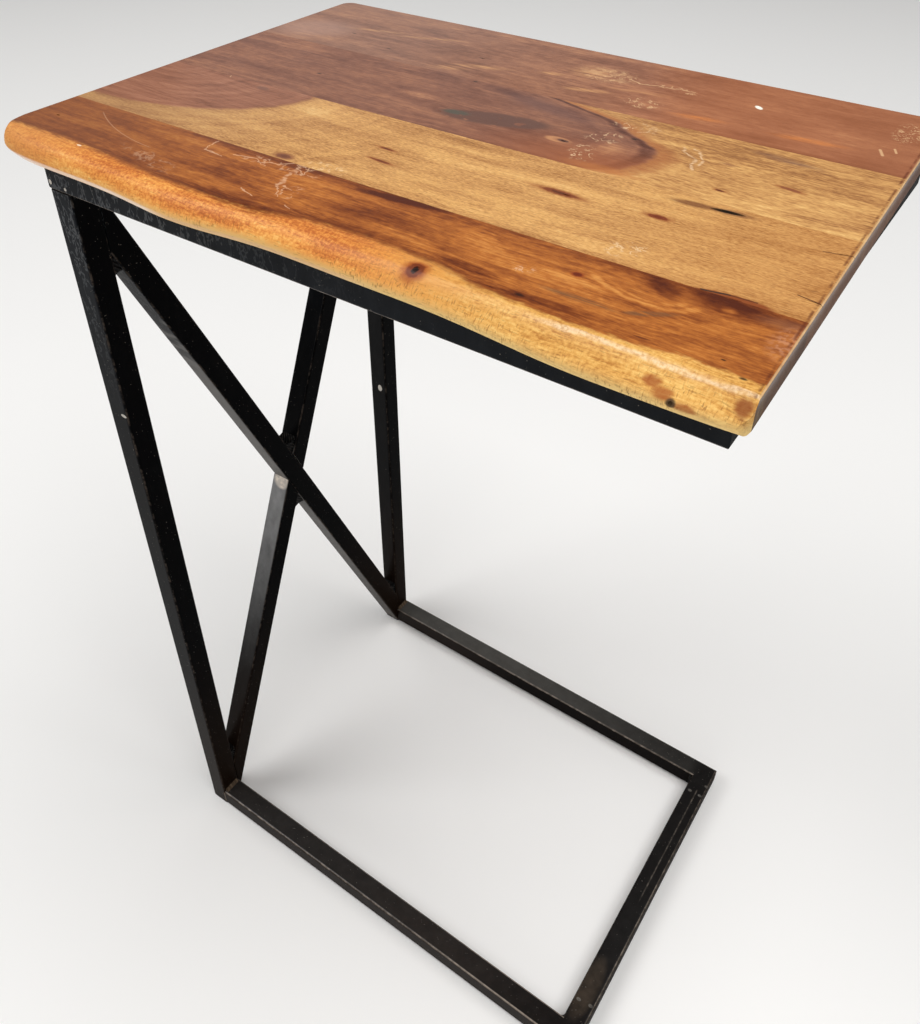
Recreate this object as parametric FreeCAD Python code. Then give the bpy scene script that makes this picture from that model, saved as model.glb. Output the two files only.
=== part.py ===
"""C-shaped side table: a glued-up solid wood top on a welded square-tube steel frame.

Millimetres. The origin is on the floor under the middle of the top. +X runs to the free
end of the C, +Y to the back and +Z up. Every sub-part goes to parts/NODE.step.
"""
import FreeCAD, Part
import math
import os

# ------------------------------------------------------------------ driving sizes
# Top. The boards run along X. The back board takes the width that the other three leave.
TABLE_HEIGHT = 636.0        # floor to the upper face of the top
TOP_LENGTH = 430.0          # along X, at the front
TOP_DEPTH = 309.0           # along Y, from the furthest point of the live edge
TOP_THICKNESS = 14.0
LIVE_EDGE_BOARD = 63.8      # width, out to the furthest point of the live edge
FRONT_MIDDLE_BOARD = 76.5
BACK_MIDDLE_BOARD = 78.0
END_SKEW = 6.0              # how far out of square the free end is, over the depth
BACK_CORNER_RADIUS = 8.0
FREE_CORNER_RADIUS = 8.0    # where the live edge meets the free end
ARRIS = 0.8                 # small chamfer along the cut edges

# Live edge. Its section is a small quarter ellipse below the widest line and a large one
# above it, which flattens to a plain facet towards the free end.
WIDEST_HEIGHT = 4.5         # widest line above the underside
LOWER_TUCK = 2.4            # how far the edge curls back below it
# The nose at the left end: distance of the widest line from the left end and from the
# furthest front point, width of the bevel above it, and how far it curls back below.
NOSE = (
    (0.0, 34.0, 0.0, 0.0),
    (0.3, 22.0, 1.8, 2.0),
    (0.9, 16.5, 3.6, 3.4),
    (2.4, 12.4, 6.2, 5.0),
    (6.5, 9.4, 8.8, 6.0),
    (15.0, 7.2, 10.5, 4.6),
)
# The rest: share of the length, distance of the widest line from the furthest front point,
# width of the bevel, and its flatness (0 is a full round, 1 a plain facet).
WAVES = (
    (0.100, 5.3, 11.0, 0.0),
    (0.165, 5.2, 11.5, 0.0),
    (0.240, 4.0, 10.5, 0.1),
    (0.320, 1.2, 12.5, 0.2),
    (0.375, 2.0, 13.0, 0.2),
    (0.440, 5.0, 13.5, 0.2),
    (0.570, 5.7, 12.5, 0.3),
    (0.690, 5.0, 11.5, 0.5),
    (0.755, 2.8, 11.5, 0.7),
    (0.825, 0.3, 11.3, 0.9),
    (0.900, 0.0, 11.3, 1.0),
    (0.965, 0.6, 10.5, 1.0),
    (1.000, 1.4, 7.5, 1.0),
)
SECTION_ANGLES = (-90, -60, -30, 0, 18, 36, 54, 72, 90)     # round the two quarter ellipses

# Frame. The top overhangs it by its own amount on each side.
TUBE = 17.0                 # outside of the square tube
TUBE_WALL = 1.2
TUBE_CORNER = 1.8           # outside corner radius of the tube
LEG_OVERHANG = 31.0         # left end of the top past the legs
FREE_OVERHANG = 8.0         # free end of the top past its frame, at the front
FRONT_OVERHANG = 13.5       # furthest point of the live edge past the frame
BACK_OVERHANG = 20.5
BASE_SETBACK = 15.0         # the base is this much shorter than the top frame

# Welds
BEAD = 2.6                  # leg of a fillet weld
NOTCH_FILL = 15.0           # how far weld fills the sharp notches of the braces
WELD_HOLLOW = 0.15          # how far a weld's surface sinks, as a share of its width

# Feet
GLIDE_HEIGHT = 2.0          # the frame stands this far off the floor
PAD_MARGIN = 1.0            # edge of a pad to the sides of its rail
FOOT_CHAMFER = 0.4
PLUG_HEAD_MARGIN = 0.3      # plug head inside the outline of the leg
PLUG_DEPTH = 12.0           # how far the plug reaches up the leg
PLUG_WALL = 1.5
PLUG_CLEARANCE = 0.15       # plug to the inside of the tube

# Screws that hold the top
SCREW_DIAMETER = 3.6
SCREW_TIP = 3.0
SCREW_COVER = 3.0           # wood left over the tip
SCREW_HEAD_DIAMETER = 7.6
SCREW_HEAD_HEIGHT = 2.4
SCREW_HEAD_ROUND = 1.4
SCREW_HOLE_CLEARANCE = 0.3  # around the screw in the rails
SCREW_END_DISTANCE = 60.0   # end of a long rail to its first screw
SCREWS_PER_LONG_RAIL = 3
RECESS_DEPTH = 1.6          # cross recess in the head
RECESS_WIDTH = 0.9
RECESS_SPAN = 4.2

# ------------------------------------------------------------------ derived places
LEFT = -TOP_LENGTH / 2
FRONT = -TOP_DEPTH / 2
BACK = TOP_DEPTH / 2
FRONT_JOINT = FRONT + LIVE_EDGE_BOARD
MIDDLE_JOINT = FRONT_JOINT + FRONT_MIDDLE_BOARD
BACK_JOINT = MIDDLE_JOINT + BACK_MIDDLE_BOARD
UNDERSIDE = TABLE_HEIGHT - TOP_THICKNESS        # of the wood, and top of the frame
RAIL_UNDERSIDE = UNDERSIDE - TUBE
FRAME_LEFT = LEFT + LEG_OVERHANG
FRAME_FRONT = FRONT + FRONT_OVERHANG
FRAME_BACK = BACK - BACK_OVERHANG
TOP_FRAME_END = LEFT + TOP_LENGTH - FREE_OVERHANG
BASE_END = TOP_FRAME_END - BASE_SETBACK
LEG_INSIDE = FRAME_LEFT + TUBE                  # face of the legs that looks into the C
LEG_MIDDLE = FRAME_LEFT + TUBE / 2
FLAT = TUBE - 2 * TUBE_CORNER                   # flat width of a tube face
BORE = TUBE - 2 * TUBE_WALL                     # inside width of the tube

# The braces fill the opening between the legs from corner to corner: the upper side of a
# brace meets one corner and its lower side meets the opposite one.
OPENING_FRONT = FRAME_FRONT + TUBE
OPENING_BACK = FRAME_BACK - TUBE
OPENING_WIDTH = OPENING_BACK - OPENING_FRONT
OPENING_HEIGHT = RAIL_UNDERSIDE - GLIDE_HEIGHT
OPENING_DIAGONAL = math.hypot(OPENING_WIDTH, OPENING_HEIGHT)
LEAN = math.atan2(OPENING_WIDTH, OPENING_HEIGHT) + math.asin(TUBE / OPENING_DIAGONAL)
SLICE = TUBE / math.sin(LEAN)                   # height of a brace's cut end
BRACE_Y = (OPENING_FRONT + OPENING_BACK) / 2
BRACE_Z = (RAIL_UNDERSIDE + GLIDE_HEIGHT) / 2

X = FreeCAD.Vector(1, 0, 0)
Y = FreeCAD.Vector(0, 1, 0)
Z = FreeCAD.Vector(0, 0, 1)
ORIGIN = FreeCAD.Vector(0, 0, 0)
FAR = 3 * max(TABLE_HEIGHT, TOP_LENGTH, TOP_DEPTH)
HAIR = 1e-6                 # geometric tolerance


def vec(x, y, z):
    return FreeCAD.Vector(x, y, z)


def free_end(y):
    """X of the skewed free end of the top at a given Y."""
    return TOP_LENGTH / 2 - END_SKEW * (y - FRONT) / TOP_DEPTH


def trim(solid, point, away):
    """Cut off what lies beyond a plane through point, on the side that away points to."""
    waste = Part.makeBox(2 * FAR, 2 * FAR, 2 * FAR, vec(-FAR, -FAR, 0))
    waste.Placement = FreeCAD.Placement(point, FreeCAD.Rotation(Z, away))
    return solid.cut(waste)


# ------------------------------------------------------------------ wood top
def ease_ends(board):
    """Chamfer the upper and lower edges at both ends of a board."""
    slant = math.atan2(END_SKEW, TOP_DEPTH)
    for level, up in ((TABLE_HEIGHT, 1), (UNDERSIDE, -1)):
        z = level - up * ARRIS
        board = trim(board, vec(LEFT, 0, z), vec(-1, 0, up))
        board = trim(board, vec(free_end(0), 0, z), vec(math.cos(slant), math.sin(slant), up))
    return board


def plain_board(front, back):
    """Square-edged board, full thickness, from one Y to another."""
    corners = [
        vec(LEFT, front, UNDERSIDE),
        vec(free_end(front), front, UNDERSIDE),
        vec(free_end(back), back, UNDERSIDE),
        vec(LEFT, back, UNDERSIDE),
    ]
    outline = Part.makePolygon(corners + corners[:1])
    return Part.Face(outline).extrude(Z * TOP_THICKNESS)


def middle_board(front, back):
    return ease_ends(plain_board(front, back))


def back_board():
    """The back board has rounded corners and an eased back edge."""
    board = plain_board(BACK_JOINT, BACK)
    corners = []
    for edge in board.Edges:
        if edge.BoundBox.YMin > BACK - HAIR and edge.BoundBox.ZLength > HAIR:
            corners.append(edge)
    board = board.makeFillet(BACK_CORNER_RADIUS, corners)
    rim = []
    for edge in board.Edges:
        if edge.BoundBox.ZLength < HAIR and edge.BoundBox.YMax > BACK_JOINT + HAIR:
            rim.append(edge)
    return board.makeChamfer(ARRIS, rim)


def widest_line():
    """Rows of (point, bevel, flatness, tuck) along the widest line of the live edge."""
    rows = [(vec(LEFT + x, FRONT + y, 0), bevel, 0.0, tuck) for x, y, bevel, tuck in NOSE]
    for share, y, bevel, flatness in WAVES:
        point = vec(LEFT + share * TOP_LENGTH, FRONT + y, 0)
        rows.append((point, bevel, flatness, LOWER_TUCK))
    return rows


def live_edge_points(angle):
    """The live edge in plan at one place round its section, as a list of points."""
    turn = math.radians(angle)
    rise = WIDEST_HEIGHT if angle < 0 else TOP_THICKNESS - WIDEST_HEIGHT
    height = WIDEST_HEIGHT + rise * math.sin(turn)
    rows = widest_line()
    points = []
    for index, (point, bevel, flatness, tuck) in enumerate(rows):
        if angle < 0:
            inset = tuck * (1 - math.cos(turn))
        else:
            rounded = 1 - math.cos(turn)
            facet = math.sin(turn)
            inset = bevel * ((1 - flatness) * rounded + flatness * facet)
        if index in (0, len(rows) - 1):
            inward = Y
        else:
            along = (rows[index + 1][0] - rows[index - 1][0]).normalize()
            inward = vec(-along.y, along.x, 0)
        place = point + inward * inset
        points.append(vec(place.x, place.y, UNDERSIDE + height))
    points[-1].x = free_end(points[-1].y)
    return points


def live_edge_board():
    """Lofted through the plan outlines at each angle of the live edge's section."""
    spacing = [0.0]
    rows = widest_line()
    for before, after in zip(rows, rows[1:]):
        spacing.append(spacing[-1] + (after[0] - before[0]).Length)
    outlines = []
    for angle in SECTION_ANGLES:
        points = live_edge_points(angle)
        curve = Part.BSplineCurve()
        curve.interpolate(Points=points, Parameters=spacing)
        back_right = vec(free_end(FRONT_JOINT), FRONT_JOINT, points[0].z)
        back_left = vec(LEFT, FRONT_JOINT, points[0].z)
        edges = [
            curve.toShape(),
            Part.makeLine(points[-1], back_right),
            Part.makeLine(back_right, back_left),
            Part.makeLine(back_left, points[0]),
        ]
        outlines.append(Part.Wire(edges))
    board = Part.makeLoft(outlines, True, False)
    return ease_ends(board.cut(free_corner_waste()))


def free_corner_waste():
    """What the rounded front corner at the free end leaves out, seen in plan."""
    x = free_end(FRONT) - FREE_CORNER_RADIUS
    y = FRONT + FREE_CORNER_RADIUS
    size = 2 * FREE_CORNER_RADIUS
    block = Part.makeBox(size, size, TOP_THICKNESS, vec(x, y - size, UNDERSIDE))
    centre = vec(x, y, UNDERSIDE)
    return block.cut(Part.makeCylinder(FREE_CORNER_RADIUS, TOP_THICKNESS, centre))


def drill_pilots(board):
    """Screw holes in the underside of a board."""
    for spot in screw_spots():
        if board.BoundBox.YMin < spot.y < board.BoundBox.YMax:
            board = board.cut(screw(spot))
    return board


# ------------------------------------------------------------------ square tube
def square(side, radius):
    """Face of a square with rounded corners, centred on the origin."""
    half = side / 2
    blank = Part.makeBox(side, side, 1, vec(-half, -half, 0))
    if radius > 0:
        uprights = [edge for edge in blank.Edges if edge.BoundBox.ZLength > HAIR]
        blank = blank.makeFillet(radius, uprights)
    floor = [face for face in blank.Faces if face.BoundBox.ZMax < HAIR]
    return floor[0]


def tube_run(start, end):
    """Hollow square tube along a centre line that lies level along X or Y, or across X."""
    along = end - start
    length = along.Length
    outside = square(TUBE, TUBE_CORNER).extrude(Z * length)
    inside = square(BORE, max(TUBE_CORNER - TUBE_WALL, 0)).extrude(Z * length)
    tube = outside.cut(inside)
    across = Y if abs(along.x) > HAIR else X
    turn = FreeCAD.Rotation(across, along.cross(across), along, "ZXY")
    tube.Placement = FreeCAD.Placement(start, turn)
    return tube


def mitred_rail(start, end, inward, mitre_start=True, mitre_end=True):
    """Rail between two outer corners of a frame, cut at 45 degrees where it is mitred.

    start and end are at the height of the rail's centre line.
    """
    along = (end - start).normalize()
    middle = inward * (TUBE / 2)
    rail = tube_run(start + middle, end + middle)
    if mitre_start:
        rail = trim(rail, start, inward - along)
    if mitre_end:
        rail = trim(rail, end, inward + along)
    return rail


# ------------------------------------------------------------------ legs and rails
def leg(y):
    """Upright from just above the floor to the underside of the top frame."""
    return tube_run(vec(LEG_MIDDLE, y, GLIDE_HEIGHT), vec(LEG_MIDDLE, y, RAIL_UNDERSIDE))


def top_rails():
    """The mitred rectangle that carries the wood, drilled for the screws."""
    z = UNDERSIDE - TUBE / 2
    front_left = vec(FRAME_LEFT, FRAME_FRONT, z)
    front_right = vec(TOP_FRAME_END, FRAME_FRONT, z)
    back_left = vec(FRAME_LEFT, FRAME_BACK, z)
    back_right = vec(TOP_FRAME_END, FRAME_BACK, z)
    rails = {
        "top_rail_front": mitred_rail(front_left, front_right, Y),
        "top_rail_back": mitred_rail(back_left, back_right, -Y),
        "top_rail_left": mitred_rail(front_left, back_left, X),
        "top_rail_right": mitred_rail(front_right, back_right, -X),
    }
    radius = SCREW_DIAMETER / 2 + SCREW_HOLE_CLEARANCE
    holes = Part.Compound([Part.makeCylinder(radius, TUBE, spot) for spot in screw_spots()])
    return {name: rail.cut(holes) for name, rail in rails.items()}


def base_rails():
    """The open U on the floor. Its front and back rails butt against the legs."""
    z = GLIDE_HEIGHT + TUBE / 2
    front_leg = vec(LEG_INSIDE, FRAME_FRONT, z)
    back_leg = vec(LEG_INSIDE, FRAME_BACK, z)
    front_right = vec(BASE_END, FRAME_FRONT, z)
    back_right = vec(BASE_END, FRAME_BACK, z)
    return {
        "base_rail_front": mitred_rail(front_leg, front_right, Y, mitre_start=False),
        "base_rail_back": mitred_rail(back_leg, back_right, -Y, mitre_start=False),
        "base_rail_right": mitred_rail(front_right, back_right, -X),
    }


# ------------------------------------------------------------------ cross braces
def whole_brace(rise):
    """Brace from corner to corner of the opening; rise is 1 if it climbs to the back."""
    centre = vec(LEG_MIDDLE, BRACE_Y, BRACE_Z)
    reach = vec(0, math.sin(LEAN), rise * math.cos(LEAN)) * OPENING_DIAGONAL
    brace = tube_run(centre - reach, centre + reach)
    brace = trim(brace, vec(0, OPENING_FRONT, 0), -Y)
    return trim(brace, vec(0, OPENING_BACK, 0), Y)


def braces():
    """One whole brace falls to the back. The other is two halves butted against it."""
    centre = vec(LEG_MIDDLE, BRACE_Y, BRACE_Z)
    above = vec(0, math.cos(LEAN), math.sin(LEAN))      # square to the falling brace
    side = above * (TUBE / 2)
    return {
        "brace_long": whole_brace(-1),
        "brace_upper_half": trim(whole_brace(1), centre + side, -above),
        "brace_lower_half": trim(whole_brace(1), centre - side, above),
    }


# ------------------------------------------------------------------ welds
def weld(apex, side_a, side_b, along, reach):
    """Weld metal in the corner between two faces, over the flat width of the tube.

    apex is the middle of the corner line, and side_a and side_b run out along the faces.
    """
    start = apex - along * (FLAT / 2)
    end_a = start + side_a * reach
    end_b = start + side_b * reach
    middle = (end_a + end_b) / 2
    sink = WELD_HOLLOW * (end_b - end_a).Length
    hollow = middle + (start - middle).normalize() * sink
    edges = [
        Part.makeLine(start, end_a),
        Part.Arc(end_a, hollow, end_b).toShape(),
        Part.makeLine(end_b, start),
    ]
    return Part.Face(Part.Wire(edges)).extrude(along * FLAT)


def groove_weld(y, inward):
    """Weld that fills the rounded corner of a leg where the end of a rail meets it."""
    side = FLAT
    x = LEG_INSIDE - TUBE_CORNER
    low = min(y, y + inward * TUBE_CORNER)
    z = GLIDE_HEIGHT + TUBE_CORNER
    block = Part.makeBox(TUBE_CORNER, TUBE_CORNER, side, vec(x, low, z))
    corner = Part.makeCylinder(TUBE_CORNER, side, vec(x, y + inward * TUBE_CORNER, z))
    return block.cut(corner)


def foot_welds():
    """Beads over the rails where they meet the legs, and filled grooves at the sides."""
    beads = []
    for outer, inward in ((FRAME_FRONT, 1), (FRAME_BACK, -1)):
        middle = outer + inward * TUBE / 2
        corner = vec(LEG_INSIDE, middle, GLIDE_HEIGHT + TUBE)
        beads.append(weld(corner, X, Z, Y, BEAD))
        beads.append(groove_weld(outer, inward))
        beads.append(groove_weld(outer + inward * TUBE, -inward))
    return beads


def leg_top_welds():
    """Beads in the corners between the legs and the underside of the long top rails."""
    beads = []
    for middle in (FRAME_FRONT + TUBE / 2, FRAME_BACK - TUBE / 2):
        beads.append(weld(vec(LEG_INSIDE, middle, RAIL_UNDERSIDE), X, -Z, Y, BEAD))
    return beads


def corner_welds(z, ends):
    """Upright beads inside the mitred corners at the given ends, as (x, x inward)."""
    beads = []
    for x, x_in in ends:
        for y, y_in in ((FRAME_FRONT, 1), (FRAME_BACK, -1)):
            inside = vec(x + x_in * TUBE, y + y_in * TUBE, z)
            beads.append(weld(inside, X * x_in, Y * y_in, Z, BEAD))
    return beads


def brace_end_welds():
    """Weld that fills the sharp notches where the braces meet the legs."""
    fills = []
    for y, inward in ((OPENING_FRONT, 1), (OPENING_BACK, -1)):
        for corner, up in ((GLIDE_HEIGHT, 1), (RAIL_UNDERSIDE, -1)):
            apex = vec(LEG_MIDDLE, y, corner + up * SLICE)
            brace_side = vec(0, inward * math.sin(LEAN), up * math.cos(LEAN))
            fills.append(weld(apex, Z * up, brace_side, X, NOTCH_FILL))
    return fills


def crossing_welds():
    """Weld that fills the two sharp notches where the braces cross."""
    rise = TUBE / 2 / math.sin(LEAN)
    fills = []
    for up in (1, -1):
        apex = vec(LEG_MIDDLE, BRACE_Y, BRACE_Z + up * rise)
        to_front = vec(0, -math.sin(LEAN), up * math.cos(LEAN))
        to_back = vec(0, math.sin(LEAN), up * math.cos(LEAN))
        fills.append(weld(apex, to_front, to_back, X, NOTCH_FILL))
    return fills


# ------------------------------------------------------------------ feet
def ease_foot(foot):
    """Chamfer round the face that stands on the floor."""
    rim = [edge for edge in foot.Edges if edge.BoundBox.ZMax < HAIR]
    return foot.makeChamfer(FOOT_CHAMFER, rim)


def foot_plug(y):
    """Plastic plug in the open lower end of a leg, whose head is the glide."""
    head_side = TUBE - 2 * PLUG_HEAD_MARGIN
    stem_side = BORE - 2 * PLUG_CLEARANCE
    head = ease_foot(square(head_side, TUBE_CORNER).extrude(Z * GLIDE_HEIGHT))
    stem = square(stem_side, max(TUBE_CORNER - TUBE_WALL, 0)).extrude(Z * PLUG_DEPTH)
    stem = stem.cut(square(stem_side - 2 * PLUG_WALL, 0).extrude(Z * PLUG_DEPTH))
    stem.translate(Z * GLIDE_HEIGHT)
    plug = head.fuse(stem).removeSplitter()
    plug.translate(vec(LEG_MIDDLE, y, 0))
    return plug


def glide_pad(y):
    """Round stick-on pad under a free corner of the base."""
    radius = TUBE / 2 - PAD_MARGIN
    return ease_foot(Part.makeCylinder(radius, GLIDE_HEIGHT, vec(BASE_END - TUBE / 2, y, 0)))


# ------------------------------------------------------------------ screws
def screw_spots():
    """Points on the underside of the top rails where the screws go in."""
    spots = []
    first = FRAME_LEFT + SCREW_END_DISTANCE
    last = TOP_FRAME_END - SCREW_END_DISTANCE
    for y in (FRAME_FRONT + TUBE / 2, FRAME_BACK - TUBE / 2):
        for step in range(SCREWS_PER_LONG_RAIL):
            share = step / (SCREWS_PER_LONG_RAIL - 1)
            spots.append(vec(first + share * (last - first), y, RAIL_UNDERSIDE))
    for x in (LEG_MIDDLE, TOP_FRAME_END - TUBE / 2):
        for y in ((FRONT_JOINT + MIDDLE_JOINT) / 2, (MIDDLE_JOINT + BACK_JOINT) / 2):
            spots.append(vec(x, y, RAIL_UNDERSIDE))
    return spots


def screw(spot):
    """Pan-head wood screw, driven upwards with its head against the rail."""
    radius = SCREW_DIAMETER / 2
    shank_length = TUBE + TOP_THICKNESS - SCREW_COVER - SCREW_TIP
    shank = Part.makeCylinder(radius, shank_length)
    tip = Part.makeCone(radius, 0, SCREW_TIP, vec(0, 0, shank_length))
    head = Part.makeCylinder(SCREW_HEAD_DIAMETER / 2, SCREW_HEAD_HEIGHT, ORIGIN, -Z)
    crown = [edge for edge in head.Edges if edge.BoundBox.ZMax < HAIR - SCREW_HEAD_HEIGHT]
    head = head.makeFillet(SCREW_HEAD_ROUND, crown)
    corner = vec(-RECESS_SPAN / 2, -RECESS_WIDTH / 2, -SCREW_HEAD_HEIGHT)
    for turn in (0, 90):
        slot = Part.makeBox(RECESS_SPAN, RECESS_WIDTH, RECESS_DEPTH, corner)
        head = head.cut(slot.rotate(ORIGIN, Z, turn))
    whole = head.fuse([shank, tip]).removeSplitter()
    whole.translate(spot)
    return whole


# ------------------------------------------------------------------ all sub-parts
def build():
    base_z = GLIDE_HEIGHT + TUBE / 2
    top_z = UNDERSIDE - TUBE / 2
    parts = {
        "front_live_edge_board": drill_pilots(live_edge_board()),
        "front_middle_board": drill_pilots(middle_board(FRONT_JOINT, MIDDLE_JOINT)),
        "back_middle_board": drill_pilots(middle_board(MIDDLE_JOINT, BACK_JOINT)),
        "back_board": drill_pilots(back_board()),
        "foot_welds": Part.Compound(foot_welds()),
        "leg_top_welds": Part.Compound(leg_top_welds()),
        "brace_end_welds": Part.Compound(brace_end_welds()),
        "crossing_welds": Part.Compound(crossing_welds()),
        "base_corner_welds": Part.Compound(corner_welds(base_z, [(BASE_END, -1)])),
        "top_corner_welds": Part.Compound(
            corner_welds(top_z, [(FRAME_LEFT, 1), (TOP_FRAME_END, -1)])
        ),
        "top_screws": Part.Compound([screw(spot) for spot in screw_spots()]),
    }
    parts.update(top_rails())
    parts.update(base_rails())
    parts.update(braces())
    for place, y in (("front", FRAME_FRONT + TUBE / 2), ("back", FRAME_BACK - TUBE / 2)):
        parts["leg_" + place] = leg(y)
        parts["foot_plug_" + place] = foot_plug(y)
        parts["glide_pad_" + place] = glide_pad(y)
    return parts


def main():
    os.makedirs("parts", exist_ok=True)
    for name, shape in build().items():
        shape.exportStep(f"parts/{name}.step")
        print(f"{name:24s} solids {len(shape.Solids):2d}  volume {shape.Volume / 1000:8.2f} cm3")


main()
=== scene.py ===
"""Looks of a C-shaped side table: a live-edge wood top on a black welded steel frame.

Metres, +Z up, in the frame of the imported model. Materials work in millimetres.
"""
import math
import bpy
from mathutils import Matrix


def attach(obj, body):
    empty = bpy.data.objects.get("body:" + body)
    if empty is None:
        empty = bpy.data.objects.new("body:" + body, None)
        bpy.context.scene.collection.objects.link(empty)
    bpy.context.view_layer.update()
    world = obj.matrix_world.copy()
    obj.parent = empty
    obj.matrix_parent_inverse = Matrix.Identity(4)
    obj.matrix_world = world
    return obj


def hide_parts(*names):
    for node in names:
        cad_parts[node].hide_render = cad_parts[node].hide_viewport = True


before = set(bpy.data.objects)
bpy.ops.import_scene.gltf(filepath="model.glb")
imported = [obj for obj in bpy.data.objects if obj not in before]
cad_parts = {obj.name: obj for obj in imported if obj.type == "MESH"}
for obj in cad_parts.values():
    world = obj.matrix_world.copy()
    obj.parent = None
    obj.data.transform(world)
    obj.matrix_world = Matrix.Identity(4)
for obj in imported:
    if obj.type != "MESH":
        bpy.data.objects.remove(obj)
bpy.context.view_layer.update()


# ---------------------------------------------------------------- camera
# Stands at the free end, in front of the live edge, and looks down on the top.
CAMERA_PLACE = (0.2756, -0.4152, 0.8299)
CAMERA_ELEVATION = 36.67
CAMERA_AZIMUTH = 34.69
CAMERA_LENS = 33.58
CAMERA_SHIFT = (0.0062, -0.1193)
CAMERA_NEAREST = 0.01
camera = bpy.data.objects.new("camera", bpy.data.cameras.new("camera"))
bpy.context.scene.collection.objects.link(camera)
bpy.context.scene.camera = camera
camera.location = CAMERA_PLACE
camera.rotation_euler = (math.radians(90 - CAMERA_ELEVATION), 0, math.radians(CAMERA_AZIMUTH))
camera.data.lens = CAMERA_LENS
camera.data.shift_x, camera.data.shift_y = CAMERA_SHIFT
camera.data.clip_start = CAMERA_NEAREST


# ---------------------------------------------------------------- painted steel tube
# The legs, braces and rails are 17 mm square steel tube, sprayed satin black after welding.
# The paint is dusty on top and chipped in a few places. Painted light and sheen grey the faces that
# look up, the front faces, the braces and the edges, and a painted brown floor reflection warms the
# lower faces. A pale line runs along the top of the free-end rail.
BLACK = (3, 3, 4)
EDGE_HIGHLIGHT = (150, 138, 126)
RAIL_TOP = 19.0             # top of the rails on the floor, in mm
TOP_RAIL_BOTTOM = 605.0     # underside of the rails that carry the top, in mm
RAIL_LINE_X = 184.8           # X of the pale line on the free-end rail, in mm


class Field:
    """A value that varies over a surface. Arithmetic on fields adds Math nodes."""

    def __init__(self, tree, socket=None):
        self.tree = tree
        self.socket = socket

    def node(self, kind, settings=None, sockets=None, output=0):
        """Add any node: its settings first, then the values or links of its sockets."""
        made = self.tree.nodes.new(kind)
        for name, value in (settings or {}).items():
            if name == "stops":
                ramp = made.color_ramp
                while len(ramp.elements) < len(value):
                    ramp.elements.new(1.0)
                for element, (position, colour) in zip(ramp.elements, value):
                    element.position = position
                    element.color = (*colour, 1)
            elif name == "points":
                curve = made.mapping.curves[0]
                while len(curve.points) < len(value):
                    curve.points.new(0.5, 0.5)
                for point, place in zip(curve.points, value):
                    point.location = place
                made.mapping.update()
            else:
                setattr(made, name, value)
        for key, value in (sockets or {}).items():
            if isinstance(value, Field):
                self.tree.links.new(value.socket, made.inputs[key])
            else:
                made.inputs[key].default_value = value
        return Field(self.tree, made.outputs[output]) if made.outputs else None

    def maths(self, operation, *values):
        return self.node("ShaderNodeMath", {"operation": operation}, dict(enumerate(values)))

    def __add__(self, other):
        return self.maths("ADD", self, other)

    def __radd__(self, other):
        return self.maths("ADD", other, self)

    def __sub__(self, other):
        return self.maths("SUBTRACT", self, other)

    def __rsub__(self, other):
        return self.maths("SUBTRACT", other, self)

    def __mul__(self, other):
        return self.maths("MULTIPLY", self, other)

    def __rmul__(self, other):
        return self.maths("MULTIPLY", other, self)

    def __truediv__(self, other):
        return self.maths("DIVIDE", self, other)

    def __pow__(self, other):
        return self.maths("POWER", self, other)

    def __abs__(self):
        return self.maths("ABSOLUTE", self)

    def fade(self, start, end):
        """0 as far as start, 1 from end on, and smooth between them."""
        settings = {"interpolation_type": "SMOOTHSTEP"}
        return self.node("ShaderNodeMapRange", settings, {0: self, 1: start, 2: end})

    def lower(self, other):
        return self.maths("MINIMUM", self, other)

    def higher(self, other):
        return self.maths("MAXIMUM", self, other)

    def blend(self, colour, share):
        """This colour with another laid over it by a share."""
        return two_tone(share, self, colour)


def srgb(red, green, blue):
    """Linear colour with alpha from the 0 to 255 numbers of a paint chart."""
    linear = []
    for part in (red, green, blue):
        share = part / 255
        linear.append(share / 12.92 if share <= 0.04045 else ((share + 0.055) / 1.055) ** 2.4)
    return (*linear, 1.0)


def two_tone(share, low, high):
    """Colour between two colours: low where the share is 0, high where it is 1."""
    return share.node("ShaderNodeMix", {"data_type": "RGBA"}, {0: share, 6: low, 7: high}, 2)


def new_material(name):
    """An empty material, and the field that its nodes are made from."""
    material = bpy.data.materials.new(name)
    material.use_nodes = True
    material.node_tree.nodes.clear()
    return material, Field(material.node_tree)


def show(paint, sockets):
    """Finish a material with one Principled shader."""
    shader = paint.node("ShaderNodeBsdfPrincipled", {}, sockets)
    paint.node("ShaderNodeOutputMaterial", {}, {"Surface": shader})


def place_in_mm(paint):
    """X, Y and Z on the table, in millimetres."""
    place = paint.node("ShaderNodeTexCoord", output=3)
    axes = []
    for axis in range(3):
        axes.append(paint.node("ShaderNodeSeparateXYZ", {}, {0: place}, axis) * 1000)
    return axes


def noise(x, y, z, detail=2.0, roughness=0.5):
    """Cloudy noise about 0.5, from coordinates that are already scaled."""
    where = x.node("ShaderNodeCombineXYZ", {}, {0: x, 1: y, 2: z})
    sockets = {"Vector": where, "Scale": 1.0, "Detail": detail, "Roughness": roughness}
    return x.node("ShaderNodeTexNoise", {}, sockets)


def spot(x, y, centre, half_length, half_width, turn=0.0):
    """Distance from the middle of an oval in the X-Y plane: 1 on its outline."""
    c = math.cos(math.radians(turn))
    s = math.sin(math.radians(turn))
    along = (x - centre[0]) * (c / half_length) + (y - centre[1]) * (s / half_length)
    across = (y - centre[1]) * (c / half_width) - (x - centre[0]) * (s / half_width)
    return (along * along + across * across) ** 0.5


def fleck(x, y, z, centre, half_sizes, core=0.7):
    """1 inside an ellipsoid, fading from its core out to 0 at its surface."""
    axes = [(axis - middle) / half for axis, middle, half in zip((x, y, z), centre, half_sizes)]
    return 1 - (axes[0] * axes[0] + axes[1] * axes[1] + axes[2] * axes[2]).fade(core, 1.0)


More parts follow.
